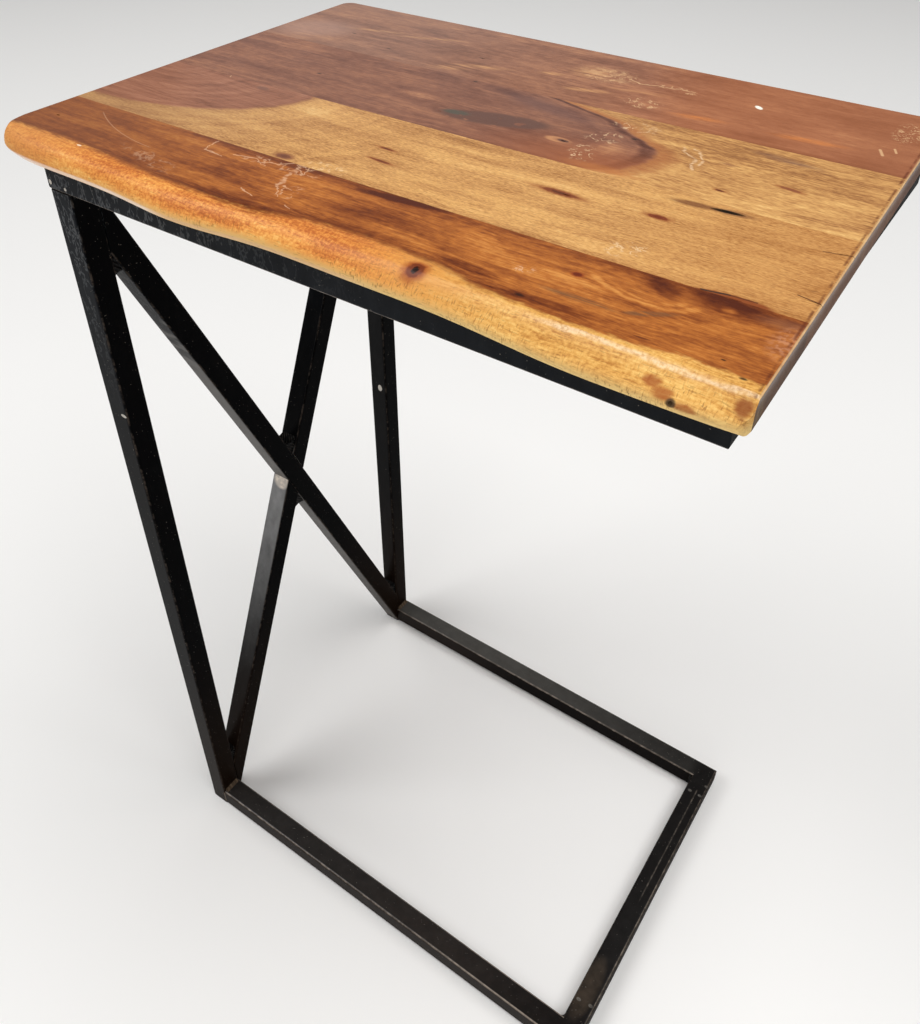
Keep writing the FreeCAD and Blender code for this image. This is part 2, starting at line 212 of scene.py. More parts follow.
frame_paint, paint = new_material("satin_black_paint")
x, y, z = place_in_mm(paint)
normal = paint.node("ShaderNodeTexCoord", output=1)
facing = [paint.node("ShaderNodeSeparateXYZ", {}, {0: normal}, axis) for axis in range(3)]
to_free_end = facing[0].fade(0.2, 0.7)
to_front = (facing[1] * -1.0).fade(0.5, 0.95)
mottle = noise(x / 9, y / 9, z / 22, 4.0, 0.6)
dimples = noise(x / 1.1, y / 1.1, z / 1.1, 2.0)
specks = noise(x / 1.3, y / 1.3, z / 1.3, 1.0).fade(0.74, 0.79)
colour = two_tone(mottle.fade(0.45, 0.75), srgb(*BLACK), srgb(9, 9, 10))

# Dust and painted light from above on the faces that look up, with a painted reflection palest on the back
# rail.
upward = facing[2].fade(0.5, 0.95)
dust_and_top_light = upward * (0.45 + mottle * 0.7) * (1 - x.fade(60.0, 180.0) * 0.6)
colour = colour.blend(srgb(44, 41, 39), dust_and_top_light)
on_floor = 1 - z.fade(24.0, 30.0)
back_rail = y.fade(112.0, 120.0) * on_floor
# painted reflection on the top of the back rail
painted_top_reflection = back_rail * upward * (1 - x.fade(168.0, 180.0)) * (1 - x.fade(-60.0, 160.0) * 0.75)
colour = colour.blend(srgb(84, 82, 78), painted_top_reflection * (0.45 + mottle * 0.5))
worn_corner = fleck(x, y, z, (181.0, -96.0, RAIL_TOP), (10.0, 30.0, 4.0), 0.3)
colour = colour.blend(srgb(72, 62, 52), worn_corner * mottle)

# Painted bluish sheen, with pale marbled veins in it, high on the front faces.
colour = colour.blend(srgb(26, 30, 36), to_front * z.fade(380.0, 600.0) * (0.2 + mottle * 0.6))
painted_sheen_veins = 1 - abs(noise(x / 6, y / 6, z / 16, 3.0, 0.65) - 0.5).fade(0.006, 0.035)
painted_sheen_veins = painted_sheen_veins * to_front * z.fade(440.0, 600.0) * (1 - x.fade(-150.0, 60.0))
colour = colour.blend(srgb(92, 94, 96), painted_sheen_veins * 0.6)

# Painted grey sheen on the upward front faces of the braces, and a painted grey reflection on their
# downward front faces.
climbing = to_front * facing[2].fade(0.25, 0.4) * (1 - z.fade(322.0, 334.0))
colour = colour.blend(srgb(150, 150, 150), climbing * z.fade(110.0, 330.0) * (0.3 + mottle * 0.9))
falling = (facing[2] * -1.0).fade(0.25, 0.4) * (facing[1] * -1.0).fade(0.5, 0.8)
smears = noise(x / 30, y / 12 + z / 9, z / 60, 2.0).fade(0.40, 0.58)
# share of the painted reflection on the downward front faces
dull = (1 - z.fade(490.0, 570.0)) * (0.4 + mottle * 0.6) * (1 - z.fade(440.0, 480.0) * smears)
colour = colour.blend(srgb(116, 113, 110), falling * dull)

# Painted highlights along the edges of the tube, and a pale line on top of the free-end rail.
sideways = facing[0] * facing[0]
across_edge = sideways.fade(0.06, 0.25) * (1 - sideways.fade(0.75, 0.94))
low_rail = 1 - z.fade(RAIL_TOP + 0.5, RAIL_TOP + 1.0)
high_rail = z.fade(TOP_RAIL_BOTTOM - 0.5, TOP_RAIL_BOTTOM)
rail_edge = abs(facing[1] * facing[2]).fade(0.25, 0.45) * low_rail.higher(high_rail)
rubbed = noise(x / 5, y / 5, z / 5, 3.0, 0.6).fade(0.42, 0.66)
# painted highlight on the upright edges
colour = colour.blend(srgb(110, 98, 88), across_edge * rubbed * 0.28)
front_rail = on_floor * (1 - y.fade(-125.0, -118.0))
# painted highlight along the rail edges, brighter towards the free end
edge_highlight_share = 0.25 + rubbed * 0.5
bright_end = front_rail * x.fade(40.0, 120.0) * 0.5
colour = colour.blend(srgb(*EDGE_HIGHLIGHT), rail_edge * (edge_highlight_share + bright_end))
# painted highlight along the outer edge of the free-end rail
outer_edge = abs(facing[0] * facing[2]).fade(0.25, 0.45) * x.fade(188.0, 190.5) * on_floor
colour = colour.blend(srgb(*EDGE_HIGHLIGHT), outer_edge * (1 - y.fade(-20.0, 90.0) * 0.6) * edge_highlight_share)
pale_line = (1 - abs(x - RAIL_LINE_X).fade(0.2, 0.8)) * y.fade(-20.0, 0.0) * (1 - y.fade(104.0, 106.0))
colour = colour.blend(srgb(108, 100, 92), pale_line * upward * on_floor * (0.2 + rubbed * 0.45))

# Painted brown reflection of the floor on the lower faces, then specks, bare spots, chips and a painted
# highlight by the crossing.
black_side = back_rail * to_front * x.fade(-100.0, 0.0)
painted_floor_reflection = (1 - z.fade(20.0, 240.0)) * (1 - facing[2].fade(0.5, 0.9)) * (1 - black_side)
colour = colour.blend(srgb(34, 22, 13), painted_floor_reflection * 0.55)
colour = colour.blend(srgb(130, 124, 116), specks * 0.5)
bare = fleck(x, y, z, (-182.0, -141.0, 609.7), (1.3, 1.0, 1.6))
bare = bare.higher(fleck(x, y, z, (-169.7, -141.0, 608.2), (1.0, 1.0, 1.0)))
bare = bare.higher(fleck(x, y + (z - 452.0) * 0.5, z, (-170.5, -141.0, 452.0), (2.6, 1.4, 1.6)))
bare = bare.higher(fleck(x, y, z, (-173.7, 117.0, 315.8), (2.4, 1.0, 3.6)))
colour = colour.blend(srgb(206, 200, 190), bare * 0.85)
for centre in ((189.0, 101.2), (190.6, 112.8), (179.3, 101.2), (179.0, -107.5), (188.8, -106.5)):
    chip = fleck(x, y, z, (*centre, RAIL_TOP), (2.2, 1.5, 2.0), 0.3)
    colour = colour.blend(srgb(116, 112, 106), chip * (0.35 + rubbed * 0.45))
# painted highlight on the brace by the crossing
thin = fleck(x, y, z, (-174.0, -14.0, 301.0), (9.5, 8.0, 8.5), 0.4) * climbing
colour = colour.blend(srgb(224, 212, 198), thin * (0.6 + rubbed * 0.5))

# Shine and fine bumps of the sprayed paint.
glossy = (1 - black_side) * (1 - upward * x.fade(60.0, 180.0) * 0.7)
height = dimples * 0.5 + mottle
bump = paint.node("ShaderNodeBump", {}, {"Strength": 0.25, "Distance": 0.0002, "Height": height})
show(paint, {
    "Base Color": colour,
    "Roughness": 0.40 + mottle * 0.22,
    "Specular IOR Level": 0.015,
    "Coat Weight": (1 - to_free_end) * (0.35 + mottle * 0.35) * (1 - to_front * 0.75) * glossy,
    "Coat Roughness": 0.22,
    "Normal": bump,
})
PAINTED = ("leg_front", "leg_back", "brace_long", "brace_upper", "brace_lower", "base_rail", "top_rail")
for name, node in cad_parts.items():
    if name.startswith(PAINTED):
        node.material_slots[0].material = frame_paint


# ---------------------------------------------------------------- welds
# Small hollow-faced beads in the joints of the frame, under the same paint. They are paler on the
# crests of their ripples, and a painted brown reflection of the floor lies on them at the feet of the legs.
weld_paint, paint = new_material("painted_weld")
x, y, z = place_in_mm(paint)
wander = noise(x / 4, y / 4, z / 4, 2.0)
ripple = x.maths("SINE", (x + y * 0.8 + z * 0.9) * 2.4 + wander * 5)
crest = ripple.fade(0.1, 0.9) * wander.fade(0.38, 0.62)
# feet of the legs, where a painted brown reflection of the floor lies on the welds
at_feet = (1 - x.fade(-150.0, -140.0)) * (1 - z.fade(23.0, 28.0))
colour = two_tone(crest * 0.22, srgb(7, 7, 7), srgb(104, 98, 92))
bump = paint.node("ShaderNodeBump", {}, {"Strength": 0.7, "Distance": 0.0004, "Height": ripple})
show(paint, {
    "Base Color": colour.blend(srgb(112, 94, 76), at_feet * (0.5 + crest * 0.4)),
    "Roughness": 0.45,
    "Specular IOR Level": 0.06,
    "Normal": bump,
})
for name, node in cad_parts.items():
    if name.endswith("_welds"):
        node.material_slots[0].material = weld_paint


# ---------------------------------------------------------------- screws
# Ten wood screws of dark plated steel, driven up through the rails into the top.
screw_steel, paint = new_material("dark_plated_steel")
x, y, z = place_in_mm(paint)
patina = noise(x / 1.5, y / 1.5, z / 1.5, 3.0, 0.6)
show(paint, {
    "Base Color": two_tone(patina.fade(0.4, 0.7), srgb(92, 88, 84), srgb(58, 55, 52)),
    "Metallic": 1.0,
    "Roughness": 0.28 + patina * 0.25,
})
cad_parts["top_screws"].material_slots[0].material = screw_steel


# ---------------------------------------------------------------- leg plugs and glide pads
# Matte black plastic plugs pressed into the open lower ends of the legs, and rubber pads stuck
# under the free corners of the base.
for stuff, names, dark, light, roughness in (
    ("black_plastic", ("foot_plug_front", "foot_plug_back"), (20, 20, 21), (32, 32, 33), 0.5),
    ("grey_rubber", ("glide_pad_front", "glide_pad_back"), (30, 30, 30), (56, 54, 52), 0.75),
):
    foot_material, paint = new_material(stuff)
    x, y, z = place_in_mm(paint)
    cloud = noise(x / 4, y / 4, z / 4, 3.0)
    grain = noise(x / 0.6, y / 0.6, z / 0.6, 2.0)
    bump = paint.node("ShaderNodeBump", {}, {"Strength": 0.4, "Distance": 0.0001, "Height": grain})
    show(paint, {
        "Base Color": two_tone(cloud.fade(0.35, 0.7), srgb(*dark), srgb(*light)),
        "Roughness": roughness + grain * 0.1,
        "Normal": bump,
    })
    for name in names:
        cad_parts[name].material_slots[0].material = foot_material


# ---------------------------------------------------------------- front board with the live edge
# Solid board under satin lacquer. Red heartwood on top, with orange to pale sapwood on the live
# edge. It is cut from the CAD board, with holes where its knots have fallen out or split.
LENGTH = 430.0              # of the top, in mm, like all the measures below
LEFT = -215.0
FRONT = -154.5
DEPTH = 309.0
TOP = 636.0
UNDERSIDE = 622.0
FREE_END_SKEW = 6.0         # the free end is this much nearer at the back
KNOT_HEART = (26, 20, 17)


def timber(paint, pith, spacing, knots):
    """Coordinates in mm, and the fields that a board's figure is drawn from.

    The grain wanders along the board and swings round its knots. pith is the Y and Z of the
    middle of the tree, and spacing the width of a few of its rings.
    """
    x, y, z = place_in_mm(paint)
    wander = noise(x / 75, y / 24, z / 24 + pith[0], 2.0) - 0.5
    wobble = noise(x / 17, y / 8, z / 8 + pith[0], 1.0) - 0.5
    flow = y + wander * 8 + wobble * 1.6
    for centre, half_length, half_width in knots:
        near = spot(x, y, centre, half_length * 2.2, half_width * 2.6)
        push = near.maths("EXPONENT", near * near * -1.5)
        flow = flow - (flow - centre[1]) * push * 0.75
    rings = ((flow - pith[0]) ** 2.0 + (z - pith[1]) ** 2.0) ** 0.5
    bands = noise(x / 240, rings / spacing, pith[0], 3.0, 0.6)
    streaks = noise(x / 42, flow / 1.7, z / 1.7 + pith[0], 3.0, 0.62)
    fibre = noise(x / 7, flow / 0.9, z / 0.9 + pith[0], 2.0, 0.6)
    pores = noise(x / 5, flow / 0.6, z / 0.6, 1.0).fade(0.62, 0.70)
    cloud = noise(x / 50, flow / 12, z / 12 + pith[0], 2.0)
    return x, y, z, flow, bands, streaks, fibre, pores, cloud


def figure(bands, streaks, fibre, cloud, weights):
    """Light and dark of the grain about 0.5, from its fields and how much each one counts."""
    fields = (bands, streaks, fibre, cloud)
    tone = 0.5
    for field, weight in zip(fields, weights):
        tone = tone + (field - 0.5) * weight
    return tone


def ramp(share, stops):
    """Colour along a ramp, from (share, (red, green, blue)) stops."""
    stops = [(place, srgb(*colour)[:3]) for place, colour in stops]
    return share.node("ShaderNodeValToRGB", {"stops": stops}, {"Fac": share})


def along(share, points, low, high):
    """A line drawn by a few points (share across, share up), between two values."""
    drawn = share.node("ShaderNodeFloatCurve", {"points": points}, {"Value": share})
    return low + drawn * (high - low)


def patch(x, y, centre, half_length, half_width, turn=0.0, core=0.4):
    """1 inside an oval, fading from the core's share of its size to 0 at its outline."""
    return 1 - spot(x, y, centre, half_length, half_width, turn).fade(core, 1.0)


def shade(tone, x, y, ovals):
    """A tone with lighter and darker ovals laid over it."""
    for centre, half_length, half_width, turn, core, change in ovals:
        tone = tone + patch(x, y, centre, half_length, half_width, turn, core) * change
    return tone


def scratch(x, y, start, end, width):
    """1 on a straight scratch between two points, 0 off it."""
    length = math.dist(start, end)
    c = (end[0] - start[0]) / length
    s = (end[1] - start[1]) / length
    middle = ((start[0] + end[0]) / 2, (start[1] + end[1]) / 2)
    forward = (x - middle[0]) * c + (y - middle[1]) * s
    across = (y - middle[1]) * c - (x - middle[0]) * s
    beyond = (abs(forward) - length / 2).higher(0.0)
    return 1 - ((beyond * beyond + across * across) ** 0.5).fade(width * 0.35, width)


def arc_scratch(x, y, centre, radius, where):
    """1 on a thin arc where a mask is on."""
    away = ((x - centre[0]) ** 2.0 + (y - centre[1]) ** 2.0) ** 0.5 - radius
    return (1 - abs(away).fade(0.15, 0.45)) * where


def scuffs(x, y, size, seed, where):
    """Curly pale scuff lines where a mask is on."""
    curls = noise(x / size, y / size, seed, 2.5, 0.6)
    gaps = noise(x / (size * 0.8) + 9.0, y / (size * 0.8), seed, 1.0).fade(0.42, 0.55)
    return (1 - abs(curls - 0.5).fade(0.010, 0.038)) * gaps * where


def strokes(x, y, marks, width, lines):
    """More scratches laid over some marks: each line runs through a few points."""
    for points in lines:
        for start, end in zip(points, points[1:]):
            marks = marks.higher(scratch(x, y, start, end, width))
    return marks


def knot(colour, x, y, centre, half_length, half_width, turn, dark, halo, blackness):
    """A knot laid over a board's colour: red halo, ringed body and a more or less black heart."""
    rough = noise(x / 2.4, y / 2.4, 0.0, 3.0) - 0.5
    away = spot(x, y, centre, half_length, half_width, turn) + rough * 0.7
    rings = noise(away * 4.5, 0.0, 0.0, 1.0)
    colour = colour.blend(srgb(*halo), (1 - away.fade(0.9, 2.0)) * 0.8)
    colour = colour.blend(srgb(*dark), (1 - away.fade(0.72, 1.12)) * (0.7 + rings * 0.5))
    return colour.blend(srgb(*KNOT_HEART), (1 - away.fade(0.25, 0.5)) * blackness)


def ends(colour, x, y, z, shade):
    """Painted highlight on the top rim of the free end, a dark line inside it, and end grain darkened
    partly by painted shade, laid over a board's colour.
    """
    from_free = LEFT + LENGTH - (y - FRONT) * (FREE_END_SKEW / DEPTH) - x
    from_left = x - LEFT
    patchy = noise(x / 5, y / 5, z / 5, 2.0)
    # end grain, darker in itself and deepened by painted shade
    face = 1 - from_free.lower(from_left).fade(0.03, 0.12)
    colour = colour.blend(shade, face * (0.76 + patchy * 0.3))
    line = from_free.fade(0.9, 1.5) * (1 - from_free.fade(1.8, 2.8)) * z.fade(TOP - 1.5, TOP - 0.5)
    colour = colour.blend(srgb(95, 42, 22), line * patchy.fade(0.35, 0.6) * 0.7)
    # painted highlight along the top rim of the free end
    rim = from_free.fade(-0.05, 0.1) * (1 - from_free.fade(0.4, 0.9)) * z.fade(TOP - 1.1, TOP - 0.6)
    return colour.blend(srgb(246, 204, 150), rim * (0.3 + patchy * 0.8))


def varnish(paint, colour, x, y, z, fibre, pores, worn):
    """Finish a board: satin lacquer over open pores, dull where it is worn."""
    smear = noise(x / 45, y / 28, z / 28, 3.0, 0.6)
    orange_peel = noise(x / 2.2, y / 2.2, z / 2.2, 1.0)
    height = fibre * 0.35 - pores * 0.8 + orange_peel * 0.5 - worn * 0.8
    bump = paint.node("ShaderNodeBump", {}, {"Strength": 0.22, "Distance": 0.0002, "Height": height})
    slow = paint.node("ShaderNodeBump", {}, {
        "Strength": 0.3, "Distance": 0.0004, "Height": orange_peel * 0.25 + smear, "Normal": bump,
    })
    show(paint, {
        "Base Color": colour,
        "Roughness": 0.36 + smear * 0.16 + worn * 0.2 + (1 - z.fade(TOP - 10.0, TOP - 1.0)) * 0.25,
        "Coat Weight": (0.24 - worn * 0.2) * z.fade(TOP - 5.0, TOP - 0.5),
        "Coat Roughness": 0.2,
        "Specular IOR Level": 0.14,
        "Normal": slow,
    })


def carve(name, material, hollows):
    """A copy of a CAD board with hollows cut into it, which takes the board's place.

    Each hollow is an ellipsoid: its middle, its half sizes and its turn about Z, in mm.
    """
    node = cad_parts[name]
    board = bpy.data.objects.new(name + "_timber", node.data.copy())
    bpy.context.scene.collection.objects.link(board)
    cutters = []
    for centre, half_sizes, turn in hollows:
        bpy.ops.mesh.primitive_ico_sphere_add(subdivisions=3, radius=0.001, location=(0, 0, 0))
        bpy.ops.transform.resize(value=half_sizes, center_override=(0, 0, 0))
        bpy.ops.transform.rotate(value=-math.radians(turn), orient_axis="Z", center_override=(0, 0, 0))
        bpy.ops.transform.translate(value=[part / 1000 for part in centre])
        bpy.ops.object.transform_apply()
        cutters.append(bpy.context.object)
    bpy.ops.object.select_all(action="DESELECT")
    for cutter in cutters:
        cutter.select_set(True)
    bpy.ops.object.join()
    hollow = bpy.context.object
    bpy.ops.object.select_all(action="DESELECT")
    board.select_set(True)
    bpy.context.view_layer.objects.active = board
    bpy.ops.object.mode_set(mode="EDIT")
    bpy.ops.mesh.select_all(action="SELECT")
    bpy.ops.mesh.remove_doubles(threshold=0.000001)
    bpy.ops.mesh.customdata_custom_splitnormals_clear()
    bpy.ops.object.mode_set(mode="OBJECT")
    cut = board.modifiers.new("hollow", "BOOLEAN")
    cut.operation = "DIFFERENCE"
    cut.solver = "EXACT"
    cut.object = hollow
    bpy.ops.object.modifier_apply(modifier=cut.name)
    bpy.ops.object.shade_smooth_by_angle(angle=math.radians(30))
    bpy.data.objects.remove(hollow)
    board.data.materials.clear()
    board.data.materials.append(material)
    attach(board, "root")
    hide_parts(name)


wood, paint = new_material("front_board_wood")
x, y, z, flow, bands, streaks, fibre, pores, cloud = timber(paint, (-150.0, 520.0), 2.6, (
    ((66.5, -140.8), 4, 3.5), ((124, -108), 2, 1.5), ((157, -98), 14, 5), ((184, -97), 10, 5),
))

# Line where the sapwood of the live edge turns into heartwood.
share = (x - LEFT) / LENGTH
ruffle = noise(x / 7, y / 3.5, z / 3.5, 3.0) - 0.5
edge = along(share, (
    (0.0, 0.30), (0.07, 0.50), (0.20, 0.38), (0.28, 0.22), (0.40, 0.18), (0.50, 0.52), (0.565, 0.62),
    (0.64, 0.60), (0.69, 0.48), (0.73, 0.28), (0.87, 0.18), (0.93, 0.35), (1.0, 0.30),
), -145.0, -125.0)
inward = y - edge + ruffle * 4 + (fibre - 0.5) * 5

# Tone of the heartwood, with the swirl round its two dark eyes near the free end.
blotches = noise(x / 5, y / 3, z / 3, 3.0, 0.65) - 0.5
tone = figure(bands, streaks, fibre, cloud, (0.5, 0.42, 0.5, 0.8)) + blotches * 0.45
rim_shade = (1 - inward.fade(1.0, 9.0)) * (0.10 + cloud * 0.26) * (1 - x.fade(70.0, 140.0) * 0.8)
by_joint = 1 - abs(y + 91 + ruffle * 6).fade(1.0, 8.0)
tone = tone - rim_shade - by_joint * x.fade(-190.0, -30.0) * 0.2 + x.fade(-10.0, 90.0) * 0.07
tone = shade(tone, x, y, (
    ((24, -94), 34, 3.4, 5, 0.4, -0.45), ((84, -128), 22, 4, -4, 0.4, -0.35),
    ((130, -134), 34, 3.4, 3, 0.4, -0.28), ((95, -114), 48, 9, 0, 0.1, 0.16),
))
swirl = spot(x, y, (152, -101), 24, 12, -7) + ruffle * 0.2
below = 1 - y.fade(-107.0, -101.0)
tone = tone + (1 - abs(swirl - 1.0).fade(0.02, 0.14)) * below * 0.22
tone = tone + (1 - abs(swirl - 0.75).fade(0.02, 0.12)) * below * 0.14
left_eye = patch(x + ruffle * 6, y + ruffle * 4, (157, -97.5), 15, 7.0, -22, 0.2)
tone = tone - left_eye * (0.20 + streaks * 0.40)
right_eye = spot(x + ruffle * 5, y, (184, -96.5), 18, 8.0, -4) + ruffle * 0.5
tone = tone - (1 - right_eye.fade(0.35, 1.3)) * (0.27 + streaks * 0.38)
tone = shade(tone, x, y, (
    ((185.6, -99.4), 4.6, 3.0, 0, 0.0, 0.42), ((184, -116), 32, 9, 0, 0.1, 0.14),
    ((124, -113), 22, 5.5, -6, 0.1, 0.22), ((179, -110), 13, 5, 0, 0.1, -0.16),
    ((-87, -114), 26, 7, 0, 0.1, 0.15), ((-4, -112), 26, 7, 0, 0.1, 0.14),
    ((68, -121), 16, 5, 0, 0.1, -0.08), ((136, -114), 11, 3, -8, 0.1, 0.16),
))

# Colour of the heartwood, greyed at the left end by a painted sheen, and grey in two streaks.
heart = ramp(tone, (
    (0.08, (84, 34, 14)), (0.30, (118, 57, 21)), (0.48, (150, 82, 34)), (0.66, (182, 108, 46)),
    (0.92, (214, 144, 72)),
))
# painted sheen that greys the left end
heart = heart.blend(srgb(132, 84, 60), (1 - x.fade(-190.0, -20.0)) * 0.55)
grey_streaks = patch(x, y, (134, -124.5), 22, 2.6, 0).higher(patch(x, y, (161, -119), 15, 2.6, 30))
heart = heart.blend(srgb(112, 76, 50), grey_streaks * streaks.fade(0.3, 0.55) * 0.75)

# Sapwood: orange at the left, gold at the free end and low down, ticked with short fibres, and made paler
# low on the bevel by painted light.
ticks = noise(x / 0.7, y / 2.6, z / 2.6, 1.0).fade(0.55, 0.72) * cloud.fade(0.36, 0.56)
lift = (z - UNDERSIDE) / (TOP - UNDERSIDE)
speckle = noise(x / 1.5, y / 1.5, z / 1.5, 2.0, 0.6) - 0.5
sap_tone = figure(bands, streaks, fibre, cloud, (0.3, 0.3, 0.6, 0.8)) + speckle * 1.1 + lift * 0.30 - 0.17
sap_tone = shade(sap_tone, x, y, (
    ((11, -149), 22, 6, 0, 0.1, 0.15), ((142, -153), 22, 6, 0, 0.1, -0.15),
))
sap = ramp(sap_tone, (
    (0.10, (246, 194, 112)), (0.34, (235, 164, 82)), (0.58, (218, 137, 64)), (0.85, (186, 102, 46)),
))
gold = ramp(figure(bands, streaks, fibre, cloud, (0.3, 0.4, 0.7, 0.6)) + speckle * 0.7, (
    (0.22, (182, 120, 52)), (0.48, (222, 165, 85)), (0.76, (242, 196, 114)),
))
sap = sap.blend(srgb(206, 146, 86), (1 - x.fade(-205.0, -120.0)) * 0.5)
sap = sap.blend(gold, x.fade(20.0, 120.0).higher((1 - lift.fade(0.15, 0.6)) * x.fade(-160.0, 0.0) * 0.8))
ticked = x.fade(-130.0, -30.0) * (1 - lift.fade(0.35, 0.95) * 0.75)
# painted light: paler low on the bevel, where it lies in shade
sap = sap.blend(srgb(255, 228, 158), (1 - lift.fade(0.05, 0.55)) * x.fade(-170.0, -60.0) * 0.6)
sap = sap.blend(srgb(142, 88, 42), ticks * ticked * 0.7)

# Sapwood meets heartwood, with a painted highlight along the ridge of the bevel and a painted highlight
# along the lower rim.
soft = 1.2 + (1 - x.fade(60.0, 140.0)) * 1.6
colour = sap.blend(heart, inward.fade(soft * -1.0, soft))
colour = colour.blend(srgb(70, 32, 18), pores * 0.26)
ridge = y - along(share, ((0.0, 0.5), (0.6, 0.5), (0.82, 0.45), (1.0, 0.3)), -147.0, -141.0)
ridge = (1 - abs(ridge + ruffle * 2.5).fade(0.2, 1.3)) * x.fade(116.0, 140.0)
# painted highlight along the ridge of the bevel
colour = colour.blend(srgb(248, 220, 180), ridge * (0.3 + speckle.fade(-0.12, 0.12) * 0.35))
# painted highlight along the lower rim
lower_rim_highlight = z.fade(UNDERSIDE + 0.2, UNDERSIDE + 0.8) * (1 - z.fade(UNDERSIDE + 2.4, UNDERSIDE + 4.2))
lower_rim_highlight = lower_rim_highlight * (0.45 + streaks * 0.9)
colour = colour.blend(srgb(255, 236, 222), lower_rim_highlight * (1 - x.fade(-92.0, -70.0)) * 0.85)
colour = colour.blend(srgb(222, 176, 160), lower_rim_highlight * x.fade(-92.0, -70.0) * (1 - x.fade(20.0, 60.0)) * 0.4)

# Stained and rubbed free end, then knots, stains and pits.
colour = colour.blend(srgb(126, 78, 54), patch(x, y, (206, -97), 16, 6, 8, 0.1) * 0.6)
mottled = noise(x / 2.2, y / 2.2, 0.0, 2.0).fade(0.44, 0.6)
rubbed = patch(x, y, (212, -109), 10, 17, 0, 0.2)
colour = colour.blend(srgb(200, 140, 104), rubbed * (0.12 + mottled * 0.5))
corner_stain = fleck(x + ruffle * 3, y, z, (211, -148.5, 631), (4.5, 5.5, 4.5), 0.1)
colour = colour.blend(srgb(132, 58, 26), corner_stain * 0.8)
colour = knot(colour, x, y, (66.5, -140.8), 4.4, 3.4, 20, (112, 48, 22), (152, 66, 26), 0.95)
colour = knot(colour, x, y, (124, -108), 2.0, 1.4, 0, (104, 38, 16), (140, 58, 24), 0.0)
for centre, half_sizes in (
    ((177.5, -150.2, 630.1), (5, 4, 2.2)), ((183, -152.7, 628.2), (5.5, 4, 2.6)),
    ((192, -154.2, 626.2), (6, 4, 2.0)),
):
    stain = fleck(x + ruffle * 5, y, z + ruffle * 2, centre, half_sizes, 0.1)
    colour = colour.blend(srgb(158, 80, 34), stain * (0.45 + streaks * 0.7))
colour = colour.blend(srgb(60, 46, 36), fleck(x, y, z, (187, -153.7, 626.5), (2.4, 3.0, 2.0), 0.3) * 0.9)
for centre, size in (((-198, -116), 1.7), ((196, -132), 1.5), ((206, -139), 2.2), ((113, -135), 3.0)):
    colour = colour.blend(srgb(48, 24, 14), patch(x, y, centre, size, size * 0.5, 0, 0.3) * 0.9)
colour = colour.blend(srgb(92, 40, 20), patch(x, y, (166, -135.6), 5, 0.8, 2, 0.3) * 0.8)

# Scuffs, scratches and small chips in the lacquer.
marks = scuffs(x, y, 8.0, 3.0, patch(x, y, (-58, -97.5), 24, 5, 2, 0.6)) * 0.8
marks = marks.higher(scuffs(x, y, 7.0, 5.0, patch(x, y, (-33, -94), 10, 9, 0, 0.6)))
marks = marks.higher(scuffs(x, y, 7.0, 6.0, patch(x, y, (-25, -117), 9, 8, 0, 0.6)))
marks = marks.higher(scuffs(x, y, 9.0, 8.0, patch(x, y, (-108, -128), 34, 7, -12, 0.5)) * 0.5)
marks = marks.higher(scuffs(x, y, 5.0, 11.0, patch(x, y, (104, -116.6), 6, 4, 20, 0.5)))
bent_x = x + ruffle * 5
bent_y = y + ruffle * 4
marks = strokes(bent_x, bent_y, marks, 0.55, (
    ((-98, -92), (-96, -104), (-82, -105)), ((-78, -100), (-66, -97), (-60, -100), (-57, -97), (-52, -97)),
    ((-52, -97), (-45, -90), (-37, -92)), ((-43, -92), (-32, -99), (-36, -89)), ((-32, -113), (-26, -115)),
    ((-17, -128), (-13, -130)), ((-47, -126), (-37, -130)), ((-34, -115), (-27, -124)),
))
marks = marks.higher(scratch(bent_x, bent_y, (-40, -100), (-34, -115), 1.5) * streaks.fade(0.35, 0.55))
arc = arc_scratch(x, y, (-116, 2), 120.0, patch(x, y, (-150, -112), 36, 18, -30, 0.9))
marks = marks.higher(arc * 0.45)
colour = colour.blend(srgb(228, 184, 148), marks * 0.55)
chips = fleck(x, y, z, (-153, -137, TOP), (1.8, 0.7, 3))
chips = chips.higher(fleck(x, y, z, (-135, -150, 632), (1.0, 2, 0.9)))
chips = chips.higher(fleck(x, y, z, (69, -153.5, 628), (3.2, 2, 0.7)))
colour = colour.blend(srgb(250, 230, 202), chips * 0.85)
colour = ends(colour, x, y, z, srgb(82, 62, 48))
varnish(paint, colour, x, y, z, fibre, pores, (marks * 0.5).higher(patch(x, y, (66.8, -140.4), 2, 2) * 1.1))
carve("front_live_edge_board", wood, (
    ((66.8, -140.4, 635.6), (1.7, 1.3, 1.0), 20),
    ((187, -154.0, 626.5), (1.0, 0.9, 1.0), 0),
    ((-198, -116, 636.0), (1.3, 0.6, 1.2), 0),
    ((69, -154, 627.5), (2.6, 1.2, 0.8), 0),
))


# ---------------------------------------------------------------- front middle board
# Golden board with short dark flecks. The rings curve round a red tongue at its left end. It has
# five slim knots, a black split near the back joint, and cracks at the free end.
wood, paint = new_material("front_middle_board_wood")
x, y, z, flow, bands, streaks, fibre, pores, cloud = timber(paint, (-60.0, 420.0), 2.6, (
    ((-12, -64), 8, 1.6), ((-19, -50), 5, 1.3), ((80, -45), 12, 3.0), ((130, -42), 6, 2.6),
    ((-56, -87), 5, 3.0), ((150, -19.5), 13, 2.4),
))

# Rings that curve round the red tongue.
ruffle = noise(x / 12, y / 6, z / 6, 3.0) - 0.5
tongue = spot(x, y, (-215, -12), 116, 68) + ruffle * 0.06
curved = noise(tongue * 16, x / 60, 0.0, 3.0, 0.6)
straight = x.fade(-60.0, 10.0)
bands = bands * straight + curved * (1 - straight)

